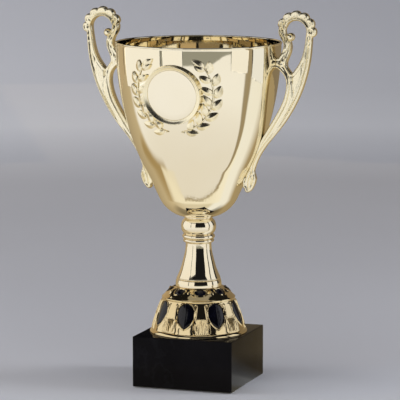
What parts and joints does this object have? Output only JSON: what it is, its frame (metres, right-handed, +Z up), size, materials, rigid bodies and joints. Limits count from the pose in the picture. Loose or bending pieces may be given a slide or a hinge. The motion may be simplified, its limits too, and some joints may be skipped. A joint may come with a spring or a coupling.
{
  "type": "cup trophy",
  "caption": "Two-handled gold cup trophy with a laurel wreath and blank emblem seat, turned stem, leafed riser and black marble block.",
  "frame": {"origin": "centre of the underside of the foot pads, on the surface the trophy stands on", "axes": "+Z up along the bowl's axis, -Y towards the wreath (front), +X towards the right handle"},
  "size_m": [0.236, 0.1639, 0.363],
  "materials": {
    "gold_metal": "thin spun metal bowl, bright gold plated, mirror polished",
    "gold_plastic": "moulded, bright gold plated, mirror gloss",
    "gold_cast": "cast relief, pale gold plated, slightly satin",
    "gold_disc": "pale gold disc, satin mirror",
    "black_plastic": "black, high gloss",
    "marble": "black marble, polished, faint veins",
    "steel": "zinc plated steel",
    "pad": "thin soft foam pad"
  },
  "bodies": {
    "root": {"marble_base": "marble", "foot_pads": "pad", "base_washer": "steel", "base_nut": "steel", "tie_rod": "steel", "riser_shell": "gold_plastic", "riser_liner": "black_plastic", "stem_cone": "gold_plastic", "stem_collar": "gold_plastic", "stem_knob": "gold_plastic", "bowl_lip": "gold_plastic", "bowl": "gold_metal", "bowl_washer": "steel", "dome_nut": "steel", "handle_right": "gold_cast", "handle_left": "gold_cast", "handle_upper_screws": "steel", "handle_lower_screws": "steel", "handle_saddles": "steel", "wreath": "gold_cast", "centre_disc": "gold_disc", "push_nuts": "steel"}
  },
  "joints": []
}
